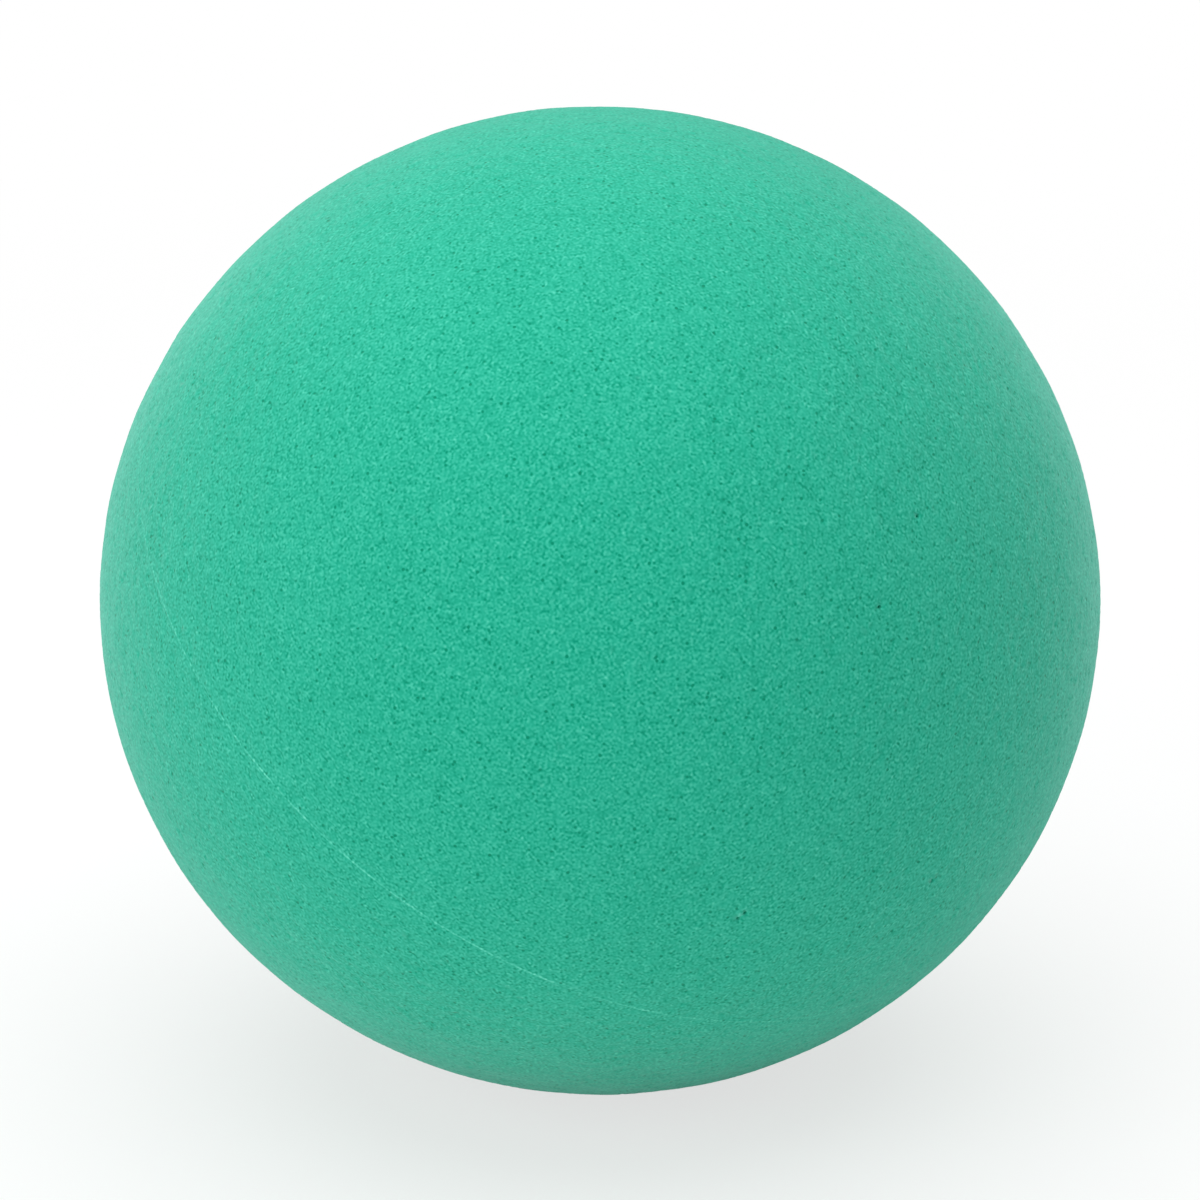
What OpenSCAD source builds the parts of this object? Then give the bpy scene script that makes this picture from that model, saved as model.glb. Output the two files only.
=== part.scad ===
// Foam ball, as it lies on a floor: a cellular core inside a dense skin, foamed in one shot in a
// spherical mould of two halves. Each half of the mould leaves its own half of the skin. Foam pressed
// into the gap between them stays as a thin web of flash, which is trimmed almost flush.
// The origin is the centre of the ball, +Z is up and lengths are in millimetres.

/* [Ball] */
// Diameter over the skin
ball_d = 180; // [100:1:300]

/* [Skin] */
// Thickness of the dense skin
skin_t = 1.6; // [0.8:0.1:8]

/* [Flash] */
// Thickness of the web of flash between the two halves of the skin
flash_t = 0.4; // [0.2:0.05:2]
// Height of the trimmed edge of the flash above the skin
flash_h = 0.15; // [0.05:0.05:1]

/* [Lie] */
// Angle between the axis of the mould and the vertical
axis_lean = 40; // [0:1:90]
// Heading that the axis of the mould leans towards, from +X round to +Y
axis_heading = -45; // [-180:1:180]

/* [Hidden] */
ball_r = ball_d / 2;
core_r = ball_r - skin_t;
foam_green = [0.17, 0.70, 0.57];
cut_green = [0.36, 0.78, 0.66];
$fn = 180;

// Turns a shape from the frame of the mould, whose parting plane is level, to the way the ball lies
module lying() {
    rotate([0, axis_lean, axis_heading])
        children();
}

// Layer round the core, out to a radius and between two heights over the parting plane
module layer(outer_r, low, high) {
    rotate_extrude()
        intersection() {
            difference() {
                circle(r = outer_r);
                circle(r = core_r);
            }
            translate([0, low])
                square([outer_r, high - low]);
        }
}

module foam_core() {
    color(cut_green)
        lying()
            sphere(r = core_r);
}

module upper_skin() {
    color(foam_green)
        lying()
            layer(ball_r, flash_t / 2, ball_r);
}

module lower_skin() {
    color(foam_green)
        lying()
            layer(ball_r, -ball_r, -flash_t / 2);
}

module parting_flash() {
    color(cut_green)
        lying()
            layer(ball_r + flash_h, -flash_t / 2, flash_t / 2);
}

foam_core();
upper_skin();
lower_skin();
parting_flash();
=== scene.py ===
"""Plain green foam ball: two halves of porous moulded skin, the trimmed flash between them and the foam core.

Lengths are in metres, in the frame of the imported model, with the centre of the ball at the origin.
"""
import math

import bmesh
import bpy
import numpy as np
from mathutils import Matrix, Vector
from mathutils.geometry import delaunay_2d_cdt


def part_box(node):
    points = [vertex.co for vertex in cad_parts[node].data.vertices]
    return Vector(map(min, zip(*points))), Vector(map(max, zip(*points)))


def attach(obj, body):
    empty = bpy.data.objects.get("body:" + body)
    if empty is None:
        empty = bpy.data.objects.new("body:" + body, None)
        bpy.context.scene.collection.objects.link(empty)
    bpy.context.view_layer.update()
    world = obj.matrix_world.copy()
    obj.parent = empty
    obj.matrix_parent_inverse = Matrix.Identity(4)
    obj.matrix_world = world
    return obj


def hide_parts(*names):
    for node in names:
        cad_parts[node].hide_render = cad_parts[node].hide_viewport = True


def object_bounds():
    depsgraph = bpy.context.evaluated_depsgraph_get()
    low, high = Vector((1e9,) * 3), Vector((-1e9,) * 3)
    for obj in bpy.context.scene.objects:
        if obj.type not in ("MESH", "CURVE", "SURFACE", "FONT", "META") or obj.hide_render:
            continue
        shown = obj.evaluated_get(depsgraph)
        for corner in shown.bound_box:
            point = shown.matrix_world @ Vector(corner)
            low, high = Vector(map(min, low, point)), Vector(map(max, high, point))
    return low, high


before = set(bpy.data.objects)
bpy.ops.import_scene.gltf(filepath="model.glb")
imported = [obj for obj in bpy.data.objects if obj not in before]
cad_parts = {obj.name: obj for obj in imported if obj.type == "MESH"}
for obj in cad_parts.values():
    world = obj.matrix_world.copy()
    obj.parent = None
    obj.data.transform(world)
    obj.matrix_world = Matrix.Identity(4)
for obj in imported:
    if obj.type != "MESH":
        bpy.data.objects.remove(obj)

CAD_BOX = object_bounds()
MM = 0.001
TINY = 1e-9

# Ball, from the frame
BALL_R = (CAD_BOX[1][0] - CAD_BOX[0][0]) / 2
CORE_LOW, CORE_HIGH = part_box("foam_core")
CORE_R = (CORE_HIGH[0] - CORE_LOW[0]) / 2

# Parting plane of the mould and the flash in it
AXIS_LEAN = math.radians(40)
AXIS_HEADING = math.radians(-45)
FLASH_T = 0.4 * MM
FLASH_H = 0.15 * MM

# Soft foam lies a little flatter than it was moulded
FLATTENING = 0.0134
FLATTENING_LEAN = math.radians(5.6)

# Seeds of the random draws
UPPER_SEED = 11
LOWER_SEED = 21
FLASH_SEED = 31
CORE_SEED = 41

# Skin: its points, its pores and grain, and the plane waves of its slow swell
SKIN_POINTS = 186_000
INNER_POINTS = 6_000
POINT_SCATTER = 0.3
PORE_ROUNDS = 3
PORE_LEAST_RANK = 0.01
PORE_DEPTH = 0.25 * MM
PORE_RARITY = 1.5
GRAIN_HEIGHT = 0.05 * MM
GRAIN_SPREAD = 0.3
SWELL_HEIGHT = 0.04 * MM
SWELL_WAVE = 14 * MM
SWELL_COUNT = 60

# Larger open pits, by heading and elevation in degrees, and the rings of one pit by radius, depth and points
LARGE_PITS = [(-49.3, -19.2), (-51.4, 23.3), (-74.4, -18.2), (-75.1, -18.9), (-59.0, 14.8)]
PIT_RINGS = [(0, 0.6 * MM, 1), (0.2 * MM, 0.5 * MM, 6), (0.4 * MM, 0, 10)]
PIT_CLEAR = 0.8 * MM
# Painted shade in the large pits, as their relief in the material
PIT_SHADE = 3

# Flat places of the two sides and the edge of a skin half
MAP_MIDDLE = 0.48
MAP_OUTER_R = 0.46
MAP_EDGE_R = (0.464, 0.472)
MAP_INNER_MIDDLE = 0.895
MAP_INNER_R = 0.095

# Points of the flash across it: radius, level in half thicknesses, and shares of the rise and of the paleness
FLASH_PROFILE = [
    (CORE_R, -1, 0, 0),
    (BALL_R, -1, 0, 0.7),
    (BALL_R, -0.5, 0.75, 1),
    (BALL_R, 0, 1, 1),
    (BALL_R, 0.5, 0.75, 1),
    (BALL_R, 1, 0, 0.7),
    (CORE_R, 1, 0, 0),
]

# Crest of the flash along it: its rise, as a share of the flash height, and the plane waves it wanders by
FLASH_STEPS = 1800
FLASH_RISE = 0.12
FLASH_WANDER = 0.06
FLASH_LEAST = 0.03
CREST_WAVES = (9 * MM, 2.2 * MM)
CREST_COUNT = 40

# How pale the flash is by its angle round the parting plane in degrees, with gaps where it was cut flush
FLASH_PALENESS = [
    (0, 0.25), (215, 0.25), (240, 0.25), (245, 0.5), (263, 0.5), (266, 0.05), (269, 0.66), (272, 0.66),
    (274, 0.15), (276, 0.66), (315, 0.66), (317, 0.1), (319, 0.1), (322, 0.55), (338, 0.5), (344, 0.3),
]
DASH_MIDDLE = 0.65
DASH_SWING = 0.17
DASH_WAVE = 7 * MM

# Core: how far it keeps inside the skin, and the plane waves that make its cut cells
CORE_CLEAR = 0.4 * MM
CORE_RELIEF = 0.2 * MM
CORE_WAVE = 6 * MM
CORE_COUNT = 60
CORE_LIMIT = 2
CORE_SUBDIVISIONS = 6

# Fine texture of the foam: grain in patches, pinholes darkened with painted shade that fades from near to far
# in a cell, mottle and bump
GRAIN_CELL = 0.52 * MM
GRAIN_STEP = 0.37 * MM
GRAIN_EVENING = 0.62
GRAIN_TONE = 0.82
PATCH_CELL = 0.9 * MM
PATCH_SPREAD = 2
PINHOLE_CELL = 1.2 * MM
PINHOLE_NEAR = 0.04
PINHOLE_FAR = 0.34
PINHOLE_SHADE = 0.85
PINHOLE_RARITY = 1.7
MOTTLE_CELL = 22 * MM
MOTTLE_DETAIL = 1
MOTTLE_TONE = 0.06
BUMP_HEIGHT = 0.05 * MM

# Middle colours and how far they sink and rise, in display levels, with its share by channel and its steps
SKIN_GREEN = (38, 175, 144)
CORE_GREEN = (80, 195, 165)
TONE_DARK = 46
TONE_LIGHT = 40
FLASH_LIGHT = 50
TONE_SPREAD = (1.33, 0.87, 0.93)
TONE_PLACES = (0, 0.25, 0.5, 0.75, 1)

# Middle of a noise texture and of a colour ramp, and the tone that relief adds to it: painted shade where
# skin and core are sunk and painted light where raised, and paleness on the flash
MIDDLE = 0.5
SKIN_RELIEF_SHADE = 0.04
FLASH_RELIEF_TONE = 0.5
CORE_RELIEF_SHADE = 0.2

# Matt surface of the foam and the velvety sheen over it
ROUGHNESS = 0.9
ROUGHNESS_SWING = 0.3
SPECULAR = 0.015
SKIN_SHEEN = 0.45
CORE_SHEEN = 0.1
SHEEN_ROUGHNESS = 0.5
SHEEN_TINT = (0.52, 0.9, 0.82, 1)

# Camera, at the viewing angle of the photo, with its lens and sensor in millimetres
CAMERA_DISTANCE = 8.46 * BALL_R
CAMERA_ELEVATION = math.radians(17.8)
CAMERA_AZIMUTH = math.radians(-0.6)
CAMERA_LENS = 126
CAMERA_SENSOR = 36

# Lamps by name, place, size across and power in watts, and the strength and colour of the dome
LAMPS = [("overhead", (0, 0, 1.5), 2.4, 32.6), ("left_front", (-1.05, -1.05, 0.5), 1.2, 8.3)]
DOME_LIGHT = 0.28
WHITE = (1, 1, 1, 1)

# Floor, with the share of plain white where the camera looks and the reach over which it rises to all of it
FLOOR_HALF = 12
FLOOR_PALE = (0.9, 0.9, 0.9, 1)
FLOOR_LIFT = 0.7
FLOOR_NEAR = 2 * BALL_R
FLOOR_FAR = 9 * BALL_R


def mould_turn():
    """Rotation from the frame of the mould, whose parting plane is level, to the way the ball lies."""
    return np.array(Matrix.Rotation(AXIS_HEADING, 3, "Z") @ Matrix.Rotation(AXIS_LEAN, 3, "Y"))


def settled(points):
    """Points of the mould's frame, turned to the way the ball lies and flattened under its weight."""
    lying = points @ mould_turn().T
    weight = np.array([math.sin(FLATTENING_LEAN), 0, math.cos(FLATTENING_LEAN)])
    return lying - FLATTENING * np.outer(lying @ weight, weight)


def round_turns(count):
    """Angles of this many even steps round a circle."""
    return np.arange(count) * 2 * math.pi / count


def spacing(count):
    """Angle between neighbours among this many points spread over a sphere."""
    return math.sqrt(4 * math.pi / count)


def scattered(count, random):
    """Directions spread evenly over a sphere by the golden angle, each then moved a little at random."""
    index = np.arange(count) + 0.5
    height = 1 - 2 * index / count
    turn = index * math.pi * (3 - math.sqrt(5))
    across = np.sqrt(1 - height**2)
    spots = np.stack([across * np.cos(turn), across * np.sin(turn), height], 1)
    spots += random.uniform(-1, 1, spots.shape) * POINT_SCATTER * spacing(count)
    return spots / np.linalg.norm(spots, axis=1)[:, None]


def cap_triangles(spots):
    """Delaunay triangles of directions round +Z, wound to face out, through a stereographic projection."""
    flat = spots[:, :2] / (1 + spots[:, 2:])
    _, _, faces, origin, _, _ = delaunay_2d_cdt(flat.tolist(), [], [], 0, TINY)
    first = np.array([inputs[0] for inputs in origin])
    return first[np.array(faces)]


def waves(points, wave, count, random):
    """Smooth noise of about one wavelength, as a sum of plane waves, with a mean square of one."""
    ways = random.normal(size=(count, 3))
    ways *= 2 * math.pi / wave / np.linalg.norm(ways, axis=1)[:, None]
    shifts = random.uniform(0, 2 * math.pi, count)
    return np.cos(points @ ways.T + shifts).sum(1) * math.sqrt(2 / count)


def new_piece(name, points, faces, flat_faces=()):
    """Mesh object of these points and faces, smooth apart from the flat faces and their edges."""
    mesh = bpy.data.meshes.new(name)
    mesh.from_pydata(points.tolist(), [], [list(face) for face in faces])
    smooth = np.ones(len(faces), bool)
    smooth[list(flat_faces)] = False
    mesh.polygons.foreach_set("use_smooth", smooth)
    for face in flat_faces:
        for corner in mesh.polygons[face].loop_indices:
            mesh.edges[mesh.loops[corner].edge_index].use_edge_sharp = True
    mesh.update()
    piece = bpy.data.objects.new(name, mesh)
    bpy.context.scene.collection.objects.link(piece)
    return piece


def set_relief(piece, relief):
    """Stores how far each vertex is raised or sunk, or how pale it is, for the material to read: painted
    shade where sunk and painted light where raised, and paleness on the flash.
    """
    layer = piece.data.attributes.new("relief", "FLOAT", "POINT")
    layer.data.foreach_set("value", relief.astype(np.float32))


def set_map(piece, corners):
    """Stores the flat place of each corner of each face, through which its pattern can be baked."""
    layer = piece.data.uv_layers.new(name="OFBake")
    layer.uv.foreach_set("vector", np.concatenate([c.reshape(-1) for c in corners]))


def disc_places(spots, middle, radius):
    """Places in a flat disc for directions round +Z, with every area in proportion."""
    across = np.linalg.norm(spots[:, :2], axis=1).clip(TINY)
    reach = radius * np.sqrt((1 - spots[:, 2]).clip(0))
    return middle + spots[:, :2] * (reach / across)[:, None]


def edge_places(ring):
    """Places of the faces along the edge of a skin half, in a thin band round the disc of its outside."""
    high, low = [MAP_MIDDLE + ring[:, :2] * radius for radius in MAP_EDGE_R]
    return np.stack([high, low, np.roll(low, -1, axis=0), np.roll(high, -1, axis=0)], 1)


def edge_ring(radius, count):
    """Directions of the edge of a half of the skin, which stops half the flash from the parting plane."""
    turn = round_turns(count)
    height = FLASH_T / 2 / radius
    across = math.sqrt(1 - height**2)
    return np.stack([across * np.cos(turn), across * np.sin(turn), np.full(count, height)], 1)


def half_spots(count, ring, radius, random):
    """Directions over the upper half of a sphere, clear of its edge ring, with the ring first."""
    spots = scattered(count, random)
    inside = spots[:, 2] > FLASH_T / 2 / radius + spacing(count) / 2
    return np.concatenate([ring, spots[inside]])


def pit_middles(side):
    """Directions of the large pits in one half of the skin, in the frame of the mould, turned up to +Z."""
    middles = []
    for heading, elevation in np.radians(LARGE_PITS):
        level = math.cos(elevation)
        way = np.array([level * math.cos(heading), level * math.sin(heading), math.sin(elevation)])
        middle = (way @ mould_turn()) * [1, 1, side]
        if middle[2] > 0:
            middles.append(middle)
    return middles


def pit_spots(middle):
    """Directions of the points of one pit, ring by ring, and the depth of each."""
    spots, depths = [], []
    aside = np.cross(middle, [1, 0, 0])
    aside /= np.linalg.norm(aside)
    along = np.cross(middle, aside)
    for radius, depth, count in PIT_RINGS:
        for turn in round_turns(count):
            spot = middle + radius / BALL_R * (math.cos(turn) * aside + math.sin(turn) * along)
            spots.append(spot / np.linalg.norm(spot))
            depths.append(depth)
    return spots, depths


def outer_side(side, ring, random):
    """Directions over the outside of a skin half, edge ring first, with the depth of the large pits."""
    spots = half_spots(SKIN_POINTS, ring, BALL_R, random)
    depths = np.zeros(len(spots))
    for middle in pit_middles(side):
        clear = np.linalg.norm(spots - middle, axis=1) > PIT_CLEAR / BALL_R
        more, deep = pit_spots(middle)
        spots = np.concatenate([spots[clear], more])
        depths = np.concatenate([depths[clear], deep])
    return spots, depths


def pick_pores(count, faces, random):
    """Marks vertices scattered at random, no two of them neighbours."""
    edges = np.concatenate([faces[:, [0, 1]], faces[:, [1, 2]], faces[:, [2, 0]]])
    edges = np.concatenate([edges, edges[:, ::-1]])
    pore = np.zeros(count, bool)
    free = np.ones(count, bool)
    for _ in range(PORE_ROUNDS):
        rank = np.where(free, random.uniform(PORE_LEAST_RANK, 1, count), 0)
        highest = np.zeros(count)
        np.maximum.at(highest, edges[:, 0], rank[edges[:, 1]])
        chosen = free & (rank > highest)
        pore |= chosen
        free &= ~chosen
        free[edges[chosen[edges[:, 0]], 1]] = False
    return pore


def porous(spots, faces, pits, edge_count, random):
    """Relief of the outside of a skin half, -1 to 1 and lower in the large pits, and its height in metres.
    The relief sets painted shade in pores and pits and painted light on raised grain.
    """
    count = len(spots)
    pore = pick_pores(count, faces, random)
    pore[:edge_count] = False
    relief = random.normal(0, GRAIN_SPREAD, count)
    depth = random.uniform(0, 1, count) ** PORE_RARITY
    relief = np.where(pore, -depth, relief).clip(-1, 1)
    height = np.where(relief < 0, relief * PORE_DEPTH, relief * GRAIN_HEIGHT)
    height += SWELL_HEIGHT * waves(spots * BALL_R, SWELL_WAVE, SWELL_COUNT, random)
    height -= height.mean()
    height[:edge_count] = 0
    height = np.where(pits > 0, -pits, height)
    # Painted shade in the large pits
    relief = np.where(pits > 0, -PIT_SHADE, relief)
    return relief, height


def skin_half(name, side, seed):
    """Closed half shell of skin: a porous outside, a plain inside and a flat edge along the flash."""
    random = np.random.default_rng(seed)
    edge_count = round(2 * math.pi / spacing(SKIN_POINTS))
    outer, pits = outer_side(side, edge_ring(BALL_R, edge_count), random)
    outer_faces = cap_triangles(outer)
    inner = half_spots(INNER_POINTS, edge_ring(CORE_R, edge_count), CORE_R, random)
    inner_faces = cap_triangles(inner)[:, ::-1]
    relief, height = porous(outer, outer_faces, pits, edge_count, random)

    count = len(outer)
    start = np.arange(edge_count)
    after = np.roll(start, -1)
    edge_faces = np.stack([start, start + count, after + count, after], 1)
    points = np.concatenate([outer * (BALL_R + height)[:, None], inner * CORE_R])
    groups = [outer_faces, inner_faces + count, edge_faces]
    places = [
        disc_places(outer, MAP_MIDDLE, MAP_OUTER_R)[outer_faces],
        disc_places(inner, MAP_INNER_MIDDLE, MAP_INNER_R)[inner_faces],
        edge_places(outer[:edge_count]),
    ]
    if side < 0:
        points = points * [1, 1, -1]
        groups = [faces[:, ::-1] for faces in groups]
        places = [corners[:, ::-1] for corners in places]
    faces = [face for group in groups for face in group.tolist()]
    flat = range(len(faces) - edge_count, len(faces))
    piece = new_piece(name, settled(points), faces, flat)
    set_relief(piece, np.concatenate([relief, np.zeros(len(inner))]))
    set_map(piece, places)
    return piece


def flash_crest(turn, circle, random):
    """Rise of the hand-trimmed crest round the flash, and how pale it is there."""
    rise = np.full(FLASH_STEPS, FLASH_RISE)
    for wave in CREST_WAVES:
        rise += FLASH_WANDER * waves(circle * BALL_R, wave, CREST_COUNT, random)
    angles, paleness = np.transpose(FLASH_PALENESS)
    bright = np.interp(np.degrees(turn), angles, paleness, period=360)
    dashes = DASH_MIDDLE + DASH_SWING * waves(circle * BALL_R, DASH_WAVE, CREST_COUNT, random)
    return FLASH_H * rise.clip(FLASH_LEAST, 1), bright * dashes.clip(0, 1)


def flash_ring():
    """Closed web of flash, with a crest that was trimmed by hand and so rises, wanders and pales."""
    random = np.random.default_rng(FLASH_SEED)
    turn = round_turns(FLASH_STEPS)
    circle = np.stack([np.cos(turn), np.sin(turn), np.zeros(FLASH_STEPS)], 1)
    rise, pale = flash_crest(turn, circle, random)
    columns = []
    for radius, level, share, _ in FLASH_PROFILE:
        columns.append(circle * (radius + share * rise)[:, None] + [0, 0, level * FLASH_T / 2])
    points = np.stack(columns, 1).reshape(-1, 3)

    width = len(FLASH_PROFILE)
    faces, walls = [], []
    for step in range(FLASH_STEPS):
        here = step * width
        there = (step + 1) % FLASH_STEPS * width
        for corner in range(width):
            beside = (corner + 1) % width
            if CORE_R in (FLASH_PROFILE[corner][0], FLASH_PROFILE[beside][0]):
                walls.append(len(faces))
            faces.append([here + corner, there + corner, there + beside, here + beside])
    piece = new_piece("parting_flash_strip", settled(points), faces, walls)
    set_relief(piece, np.outer(pale, [share for _, _, _, share in FLASH_PROFILE]).reshape(-1))
    return piece


def core_ball():
    """Closed core with the relief of its cut cells, just inside the skin."""
    random = np.random.default_rng(CORE_SEED)
    shape = bmesh.new()
    bmesh.ops.create_icosphere(shape, subdivisions=CORE_SUBDIVISIONS, radius=1)
    spots = np.array([v.co for v in shape.verts])
    faces = [[v.index for v in face.verts] for face in shape.faces]
    shape.free()
    cells = waves(spots * CORE_R, CORE_WAVE, CORE_COUNT, random)
    relief = cells.clip(-CORE_LIMIT, CORE_LIMIT) / CORE_LIMIT
    points = spots * (CORE_R - CORE_CLEAR + CORE_RELIEF * relief)[:, None]
    piece = new_piece("foam_core_ball", settled(points), faces)
    # The relief paints shade into sunk cells and light onto raised ones
    set_relief(piece, relief)
    return piece


def add_node(tree, kind, **settings):
    """New node, with its properties set by name."""
    node = tree.nodes.new(kind)
    for key, value in settings.items():
        setattr(node, key, value)
    return node


def set_inputs(node, values):
    """Sets sockets of a node by name."""
    for key, value in values.items():
        node.inputs[key].default_value = value


def noise(tree, place, cell, detail=0):
    """Output of a noise texture with cells of this size."""
    node = add_node(tree, "ShaderNodeTexNoise")
    set_inputs(node, {"Scale": 1 / cell, "Detail": detail})
    tree.links.new(place, node.inputs["Vector"])
    return node.outputs["Fac"]


def math_node(tree, operation, *values):
    """Output of a math node on sockets or numbers."""
    node = add_node(tree, "ShaderNodeMath", operation=operation)
    for socket, value in zip(node.inputs, values):
        if isinstance(value, (int, float)):
            socket.default_value = value
        else:
            tree.links.new(value, socket)
    return node.outputs[0]


def swing(tree, value, middle, reach):
    """Output of a value's distance from its middle, times its reach."""
    return math_node(tree, "MULTIPLY_ADD", value, reach, -middle * reach)


def total(tree, *values):
    """Output of the sum of some sockets."""
    result = values[0]
    for value in values[1:]:
        result = math_node(tree, "ADD", result, value)
    return result


def eased(tree, value, start, end, low, high):
    """Output that goes smoothly from low to high as a value goes from start to end."""
    node = add_node(tree, "ShaderNodeMapRange", interpolation_type="SMOOTHSTEP")
    tree.links.new(value, node.inputs["Value"])
    set_inputs(node, {"From Min": start, "From Max": end, "To Min": low, "To Max": high})
    return node.outputs["Result"]


def ramp(tree, factor, stops):
    """Output of a colour ramp with these (place, colour) stops."""
    node = add_node(tree, "ShaderNodeValToRGB")
    elements = node.color_ramp.elements
    while len(elements) < len(stops):
        elements.new(MIDDLE)
    for element, (place, colour) in zip(elements, stops):
        element.position = place
        element.color = (*colour, 1)
    tree.links.new(factor, node.inputs["Fac"])
    return node.outputs["Color"]


def grain(tree, place):
    """Output of fine grain: noise less a share of itself at near places all round, which evens out blotches.

    It is stronger in some small patches and weaker in others.
    """
    near = []
    for step in np.concatenate([np.eye(3), -np.eye(3)]) * GRAIN_STEP:
        moved = add_node(tree, "ShaderNodeVectorMath", operation="ADD")
        tree.links.new(place, moved.inputs[0])
        moved.inputs[1].default_value = step
        near.append(noise(tree, moved.outputs[0], GRAIN_CELL))
    blotches = math_node(tree, "MULTIPLY", total(tree, *near), -GRAIN_EVENING / len(near))
    even = total(tree, noise(tree, place, GRAIN_CELL), blotches)
    patches = noise(tree, place, PATCH_CELL)
    strength = math_node(tree, "MULTIPLY_ADD", patches, PATCH_SPREAD, 1 - PATCH_SPREAD * MIDDLE)
    return math_node(tree, "MULTIPLY", swing(tree, even, (1 - GRAIN_EVENING) * MIDDLE, GRAIN_TONE), strength)


def pinholes(tree, place):
    """Output of small scattered pinholes, painted shade below zero in each and deep in few of them, which
    also drives roughness and bump.
    """
    cells = add_node(tree, "ShaderNodeTexVoronoi")
    set_inputs(cells, {"Scale": 1 / PINHOLE_CELL})
    tree.links.new(place, cells.inputs["Vector"])
    hole_shade = eased(tree, cells.outputs["Distance"], PINHOLE_NEAR, PINHOLE_FAR, -PINHOLE_SHADE, 0)
    depth = math_node(tree, "POWER", cells.outputs["Color"], PINHOLE_RARITY)
    return math_node(tree, "MULTIPLY", hole_shade, depth)


def linear(level):
    """Share of light of a display level from 0 to 255."""
    share = max(level, 0) / 255
    return share / 12.92 if share <= 0.04045 else ((share + 0.055) / 1.055) ** 2.4


def tone_stops(colour, light):
    """Ramp stops that take a colour of display levels down by TONE_DARK and up by light, in even steps."""
    stops = []
    for place in TONE_PLACES:
        shift = (place - MIDDLE) / MIDDLE * (TONE_DARK if place < MIDDLE else light)
        stops.append((place, [linear(level + shift * spread) for level, spread in zip(colour, TONE_SPREAD)]))
    return stops


def new_material(name):
    """Material of nodes, its node tree and its shader."""
    material = bpy.data.materials.new(name)
    material.use_nodes = True
    tree = material.node_tree
    return material, tree, tree.nodes["Principled BSDF"]


def foam_material(name, stops, relief_shade_and_pale_tone, sheen):
    """Matt foam: fine grain and pinholes darkened with painted shade, over its relief, which paints shade
    where sunk and light where raised, and on the flash its paleness, with a velvety sheen at the rim.
    """
    material, tree, shader = new_material(name)
    place = add_node(tree, "ShaderNodeTexCoord").outputs["Object"]
    relief = add_node(tree, "ShaderNodeAttribute", attribute_name="relief").outputs["Fac"]

    # Grain, and pinholes darkened with painted shade; together they also set roughness and bump
    surface = total(tree, grain(tree, place), pinholes(tree, place))
    mottle = swing(tree, noise(tree, place, MOTTLE_CELL, MOTTLE_DETAIL), MIDDLE, MOTTLE_TONE)
    # Relief tone: painted shade where sunk and painted light where raised on skin and core; on the flash, its
    # paleness
    raised = math_node(tree, "MULTIPLY_ADD", relief, relief_shade_and_pale_tone, MIDDLE)
    tree.links.new(ramp(tree, total(tree, surface, mottle, raised), stops), shader.inputs["Base Color"])

    rough = math_node(tree, "MULTIPLY_ADD", surface, ROUGHNESS_SWING, ROUGHNESS)
    tree.links.new(rough, shader.inputs["Roughness"])
    bump = add_node(tree, "ShaderNodeBump")
    set_inputs(bump, {"Distance": BUMP_HEIGHT})
    tree.links.new(surface, bump.inputs["Height"])
    tree.links.new(bump.outputs["Normal"], shader.inputs["Normal"])

    set_inputs(shader, {
        "Specular IOR Level": SPECULAR,
        "Sheen Weight": sheen,
        "Sheen Roughness": SHEEN_ROUGHNESS,
        "Sheen Tint": SHEEN_TINT,
    })
    return material


def finish_piece(piece, node, material):
    """Puts the piece in the place of its CAD node, with its foam material."""
    piece.data.materials.append(material)
    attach(piece, "root")
    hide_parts(node)


def face_ball(item, place):
    """Puts a camera or lamp at a place, facing the middle of the ball."""
    item.location = place
    item.rotation_euler = (-Vector(place)).to_track_quat("-Z", "Y").to_euler()
    bpy.context.scene.collection.objects.link(item)


def add_camera():
    """Camera at the viewing angle and framing of the photo."""
    lens = bpy.data.cameras.new("camera")
    lens.lens = CAMERA_LENS
    lens.sensor_width = CAMERA_SENSOR
    camera = bpy.data.objects.new("camera", lens)
    level = CAMERA_DISTANCE * math.cos(CAMERA_ELEVATION)
    height = CAMERA_DISTANCE * math.sin(CAMERA_ELEVATION)
    face_ball(camera, (level * math.sin(CAMERA_AZIMUTH), -level * math.cos(CAMERA_AZIMUTH), height))
    bpy.context.scene.camera = camera


def add_lamp(name, place, size, power):
    """Large soft lamp that faces the ball."""
    light = bpy.data.lights.new(name, "AREA")
    light.shape = "DISK"
    light.size = size
    light.energy = power
    face_ball(bpy.data.objects.new(name, light), place)


def seen_straight(tree):
    """Output that is one where the camera looks, straight on or by way of metal or glass."""
    path = add_node(tree, "ShaderNodeLightPath")
    seen = math_node(tree, "MAXIMUM", path.outputs["Is Camera Ray"], path.outputs["Is Glossy Ray"])
    return math_node(tree, "MAXIMUM", seen, path.outputs["Is Transmission Ray"])


def mix_shaders(tree, factor, first, second):
    """Output of two shaders, mixed by a factor."""
    mix = add_node(tree, "ShaderNodeMixShader")
    for socket, value in zip(mix.inputs, (factor, first, second)):
        tree.links.new(value, socket)
    return mix.outputs[0]


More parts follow.
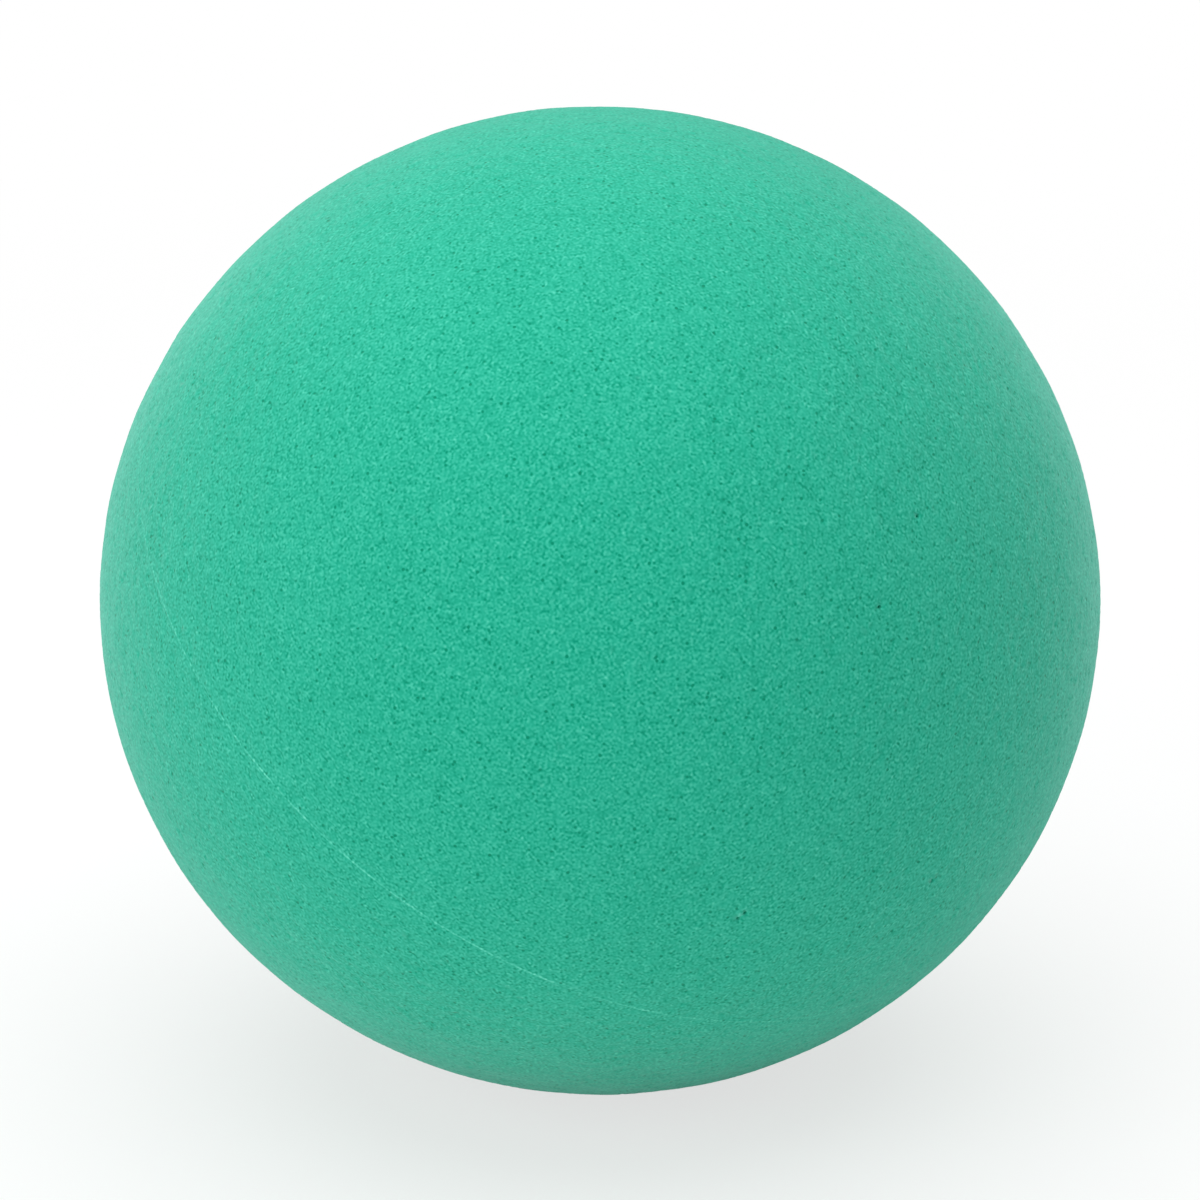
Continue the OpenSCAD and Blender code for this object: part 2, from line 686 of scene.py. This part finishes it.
def add_dome():
    """Even dome of light, which the camera sees as white."""
    world = bpy.data.worlds.new("studio")
    bpy.context.scene.world = world
    world.use_nodes = True
    tree = world.node_tree
    dome = tree.nodes["Background"]
    set_inputs(dome, {"Color": WHITE, "Strength": DOME_LIGHT})
    white = add_node(tree, "ShaderNodeBackground")
    set_inputs(white, {"Color": WHITE})
    mixed = mix_shaders(tree, seen_straight(tree), dome.outputs[0], white.outputs[0])
    tree.links.new(mixed, tree.nodes["World Output"].inputs["Surface"])


def floor_material():
    """Pale paper, nearer to white where the camera looks, and all white some way from the ball."""
    material, tree, shader = new_material("floor_paper")
    set_inputs(shader, {"Base Color": FLOOR_PALE, "Roughness": 1, "Specular IOR Level": 0})
    white = add_node(tree, "ShaderNodeEmission")
    reach = add_node(tree, "ShaderNodeVectorMath", operation="LENGTH")
    tree.links.new(add_node(tree, "ShaderNodeTexCoord").outputs["Object"], reach.inputs[0])
    whiteness = eased(tree, reach.outputs["Value"], FLOOR_NEAR, FLOOR_FAR, FLOOR_LIFT, 1)
    lift = math_node(tree, "MULTIPLY", seen_straight(tree), whiteness)
    mixed = mix_shaders(tree, lift, shader.outputs[0], white.outputs[0])
    tree.links.new(mixed, tree.nodes["Material Output"].inputs["Surface"])
    return material


def add_floor(level):
    """Plain floor at this level."""
    corners = FLOOR_HALF * np.array([(-1.0, -1.0, 0), (1, -1, 0), (1, 1, 0), (-1, 1, 0)])
    floor = new_piece("floor", corners + [0, 0, level], [[0, 1, 2, 3]])
    floor.data.materials.append(floor_material())


add_camera()
skin = foam_material("green_foam_skin", tone_stops(SKIN_GREEN, TONE_LIGHT), SKIN_RELIEF_SHADE, SKIN_SHEEN)
flash = foam_material("pale_foam_flash", tone_stops(SKIN_GREEN, FLASH_LIGHT), FLASH_RELIEF_TONE, SKIN_SHEEN)
core = foam_material("cut_foam_core", tone_stops(CORE_GREEN, TONE_LIGHT), CORE_RELIEF_SHADE, CORE_SHEEN)
upper = skin_half("upper_skin_shell", 1, UPPER_SEED)
lower = skin_half("lower_skin_shell", -1, LOWER_SEED)
finish_piece(upper, "upper_skin", skin)
finish_piece(lower, "lower_skin", skin)
finish_piece(flash_ring(), "parting_flash", flash)
finish_piece(core_ball(), "foam_core", core)

add_floor(min(v.co.z for piece in (upper, lower) for v in piece.data.vertices))
for lamp in LAMPS:
    add_lamp(*lamp)
add_dome()
bpy.context.scene.view_settings.view_transform = "Standard"
